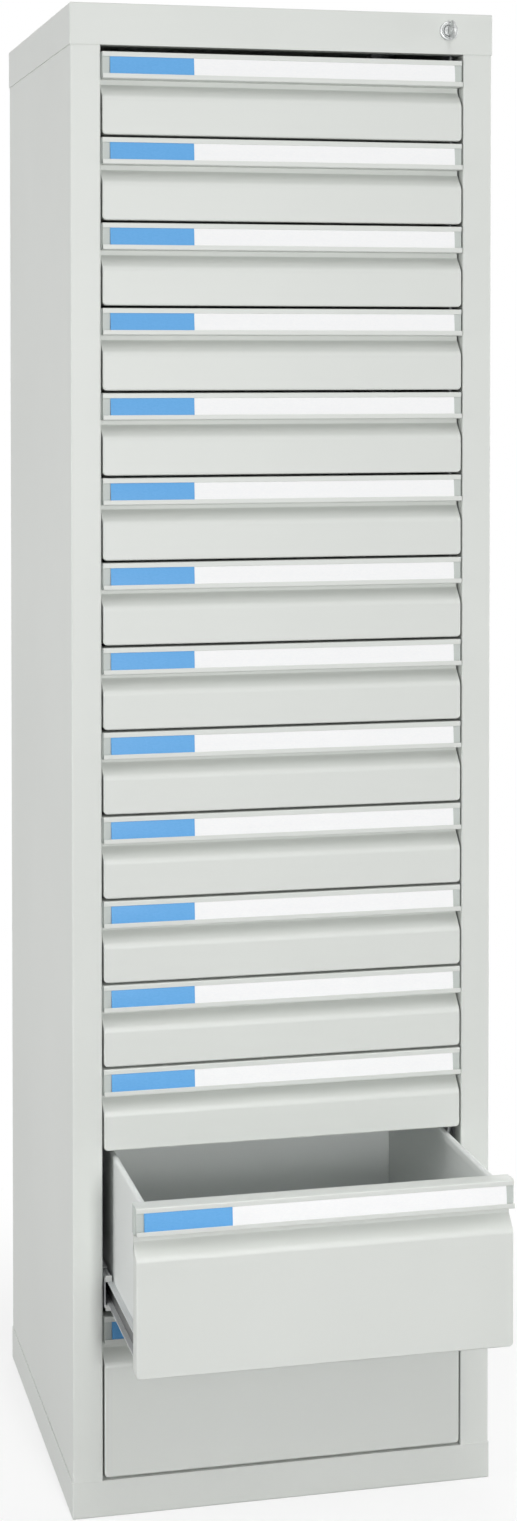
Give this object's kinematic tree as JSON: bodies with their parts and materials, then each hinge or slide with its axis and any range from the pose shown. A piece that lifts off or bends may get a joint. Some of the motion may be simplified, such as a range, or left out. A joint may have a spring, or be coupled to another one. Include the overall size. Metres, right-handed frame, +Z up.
{
  "type": "drawer cabinet",
  "caption": "Tall sheet-steel tool cabinet with shallow and deep drawers on telescopic slides, full-width label handles and a central lock that bars the drawers.",
  "frame": {"origin": "middle of the base's footprint, on the floor", "axes": "+Z up, -Y out of the front, +X to the right seen from the front"},
  "size_m": [0.52, 0.7285, 1.8],
  "materials": {
    "paint": "satin light grey powder coat",
    "zinc": "zinc plated",
    "chrome": "nickel plated"
  },
  "bodies": {
    "carcass": {"side_panel_left": "paint", "side_panel_right": "paint", "back_panel": "paint", "top_cap": "paint", "base_pan": "paint", "rail_posts_left": "zinc", "rail_posts_right": "zinc", "outer_rails_left": "zinc", "outer_rails_right": "zinc", "lock_body": "chrome", "bar_guides": "zinc"},
    "lock_core": {"lock_plug": "chrome", "key": "chrome", "lock_cam": "zinc"},
    "locking_bar": {"locking_bar": "zinc"},
    "drawer_01": {"drawer_01_box": "paint", "drawer_01_front": "paint"},
    "slides_01": {"drawer_01_slides": "zinc"},
    "drawer_02": {"drawer_02_box": "paint", "drawer_02_front": "paint"},
    "slides_02": {"drawer_02_slides": "zinc"},
    "drawer_03": {"drawer_03_box": "paint", "drawer_03_front": "paint"},
    "slides_03": {"drawer_03_slides": "zinc"},
    "drawer_04": {"drawer_04_box": "paint", "drawer_04_front": "paint"},
    "slides_04": {"drawer_04_slides": "zinc"},
    "drawer_05": {"drawer_05_box": "paint", "drawer_05_front": "paint"},
    "slides_05": {"drawer_05_slides": "zinc"},
    "drawer_06": {"drawer_06_box": "paint", "drawer_06_front": "paint"},
    "slides_06": {"drawer_06_slides": "zinc"},
    "drawer_07": {"drawer_07_box": "paint", "drawer_07_front": "paint"},
    "slides_07": {"drawer_07_slides": "zinc"},
    "drawer_08": {"drawer_08_box": "paint", "drawer_08_front": "paint"},
    "slides_08": {"drawer_08_slides": "zinc"},
    "drawer_09": {"drawer_09_box": "paint", "drawer_09_front": "paint"},
    "slides_09": {"drawer_09_slides": "zinc"},
    "drawer_10": {"drawer_10_box": "paint", "drawer_10_front": "paint"},
    "slides_10": {"drawer_10_slides": "zinc"},
    "drawer_11": {"drawer_11_box": "paint", "drawer_11_front": "paint"},
    "slides_11": {"drawer_11_slides": "zinc"},
    "drawer_12": {"drawer_12_box": "paint", "drawer_12_front": "paint"},
    "slides_12": {"drawer_12_slides": "zinc"},
    "drawer_13": {"drawer_13_box": "paint", "drawer_13_front": "paint"},
    "slides_13": {"drawer_13_slides": "zinc"},
    "drawer_14": {"drawer_14_box": "paint", "drawer_14_front": "paint"},
    "slides_14": {"drawer_14_slides": "zinc"},
    "drawer_15": {"drawer_15_box": "paint", "drawer_15_front": "paint"},
    "slides_15": {"drawer_15_slides": "zinc"}
  },
  "joints": [
    {"name": "drawer_01_slide", "type": "slide", "parent": "carcass", "child": "drawer_01", "axis": [0, -1, 0], "range_m": [0, 0.44]},
    {"name": "slides_01_travel", "type": "slide", "parent": "carcass", "child": "slides_01", "axis": [0, -1, 0], "range_m": [0, 0.22]},
    {"name": "drawer_02_slide", "type": "slide", "parent": "carcass", "child": "drawer_02", "axis": [0, -1, 0], "range_m": [0, 0.44]},
    {"name": "slides_02_travel", "type": "slide", "parent": "carcass", "child": "slides_02", "axis": [0, -1, 0], "range_m": [0, 0.22]},
    {"name": "drawer_03_slide", "type": "slide", "parent": "carcass", "child": "drawer_03", "axis": [0, -1, 0], "range_m": [0, 0.44]},
    {"name": "slides_03_travel", "type": "slide", "parent": "carcass", "child": "slides_03", "axis": [0, -1, 0], "range_m": [0, 0.22]},
    {"name": "drawer_04_slide", "type": "slide", "parent": "carcass", "child": "drawer_04", "axis": [0, -1, 0], "range_m": [0, 0.44]},
    {"name": "slides_04_travel", "type": "slide", "parent": "carcass", "child": "slides_04", "axis": [0, -1, 0], "range_m": [0, 0.22]},
    {"name": "drawer_05_slide", "type": "slide", "parent": "carcass", "child": "drawer_05", "axis": [0, -1, 0], "range_m": [0, 0.44]},
    {"name": "slides_05_travel", "type": "slide", "parent": "carcass", "child": "slides_05", "axis": [0, -1, 0], "range_m": [0, 0.22]},
    {"name": "drawer_06_slide", "type": "slide", "parent": "carcass", "child": "drawer_06", "axis": [0, -1, 0], "range_m": [0, 0.44]},
    {"name": "slides_06_travel", "type": "slide", "parent": "carcass", "child": "slides_06", "axis": [0, -1, 0], "range_m": [0, 0.22]},
    {"name": "drawer_07_slide", "type": "slide", "parent": "carcass", "child": "drawer_07", "axis": [0, -1, 0], "range_m": [0, 0.44]},
    {"name": "slides_07_travel", "type": "slide", "parent": "carcass", "child": "slides_07", "axis": [0, -1, 0], "range_m": [0, 0.22]},
    {"name": "drawer_08_slide", "type": "slide", "parent": "carcass", "child": "drawer_08", "axis": [0, -1, 0], "range_m": [0, 0.44]},
    {"name": "slides_08_travel", "type": "slide", "parent": "carcass", "child": "slides_08", "axis": [0, -1, 0], "range_m": [0, 0.22]},
    {"name": "drawer_09_slide", "type": "slide", "parent": "carcass", "child": "drawer_09", "axis": [0, -1, 0], "range_m": [0, 0.44]},
    {"name": "slides_09_travel", "type": "slide", "parent": "carcass", "child": "slides_09", "axis": [0, -1, 0], "range_m": [0, 0.22]},
    {"name": "drawer_10_slide", "type": "slide", "parent": "carcass", "child": "drawer_10", "axis": [0, -1, 0], "range_m": [0, 0.44]},
    {"name": "slides_10_travel", "type": "slide", "parent": "carcass", "child": "slides_10", "axis": [0, -1, 0], "range_m": [0, 0.22]},
    {"name": "drawer_11_slide", "type": "slide", "parent": "carcass", "child": "drawer_11", "axis": [0, -1, 0], "range_m": [0, 0.44]},
    {"name": "slides_11_travel", "type": "slide", "parent": "carcass", "child": "slides_11", "axis": [0, -1, 0], "range_m": [0, 0.22]},
    {"name": "drawer_12_slide", "type": "slide", "parent": "carcass", "child": "drawer_12", "axis": [0, -1, 0], "range_m": [0, 0.44]},
    {"name": "slides_12_travel", "type": "slide", "parent": "carcass", "child": "slides_12", "axis": [0, -1, 0], "range_m": [0, 0.22]},
    {"name": "drawer_13_slide", "type": "slide", "parent": "carcass", "child": "drawer_13", "axis": [0, -1, 0], "range_m": [0, 0.44]},
    {"name": "slides_13_travel", "type": "slide", "parent": "carcass", "child": "slides_13", "axis": [0, -1, 0], "range_m": [0, 0.22]},
    {"name": "drawer_14_slide", "type": "slide", "parent": "carcass", "child": "drawer_14", "axis": [0, -1, 0], "range_m": [-0.205, 0.235]},
    {"name": "slides_14_travel", "type": "slide", "parent": "carcass", "child": "slides_14", "axis": [0, -1, 0], "range_m": [-0.1025, 0.1175]},
    {"name": "drawer_15_slide", "type": "slide", "parent": "carcass", "child": "drawer_15", "axis": [0, -1, 0], "range_m": [0, 0.44]},
    {"name": "slides_15_travel", "type": "slide", "parent": "carcass", "child": "slides_15", "axis": [0, -1, 0], "range_m": [0, 0.22]},
    {"name": "lock_turn", "type": "hinge", "parent": "carcass", "child": "lock_core", "pos_m": [0.204, -0.26, 1.779], "axis": [0, 1, 0], "range_deg": [0, 90]},
    {"name": "bar_lift", "type": "slide", "parent": "carcass", "child": "locking_bar", "axis": [0, 0, 1], "range_m": [0, 0.012]}
  ],
  "couplings": [
    {"joint": "slides_01_travel", "follows": "drawer_01_slide", "ratio": 0.5},
    {"joint": "slides_02_travel", "follows": "drawer_02_slide", "ratio": 0.5},
    {"joint": "slides_03_travel", "follows": "drawer_03_slide", "ratio": 0.5},
    {"joint": "slides_04_travel", "follows": "drawer_04_slide", "ratio": 0.5},
    {"joint": "slides_05_travel", "follows": "drawer_05_slide", "ratio": 0.5},
    {"joint": "slides_06_travel", "follows": "drawer_06_slide", "ratio": 0.5},
    {"joint": "slides_07_travel", "follows": "drawer_07_slide", "ratio": 0.5},
    {"joint": "slides_08_travel", "follows": "drawer_08_slide", "ratio": 0.5},
    {"joint": "slides_09_travel", "follows": "drawer_09_slide", "ratio": 0.5},
    {"joint": "slides_10_travel", "follows": "drawer_10_slide", "ratio": 0.5},
    {"joint": "slides_11_travel", "follows": "drawer_11_slide", "ratio": 0.5},
    {"joint": "slides_12_travel", "follows": "drawer_12_slide", "ratio": 0.5},
    {"joint": "slides_13_travel", "follows": "drawer_13_slide", "ratio": 0.5},
    {"joint": "slides_14_travel", "follows": "drawer_14_slide", "ratio": 0.5},
    {"joint": "slides_15_travel", "follows": "drawer_15_slide", "ratio": 0.5},
    {"joint": "lock_turn", "follows": "bar_lift", "rad_per_m": 130.9}
  ]
}
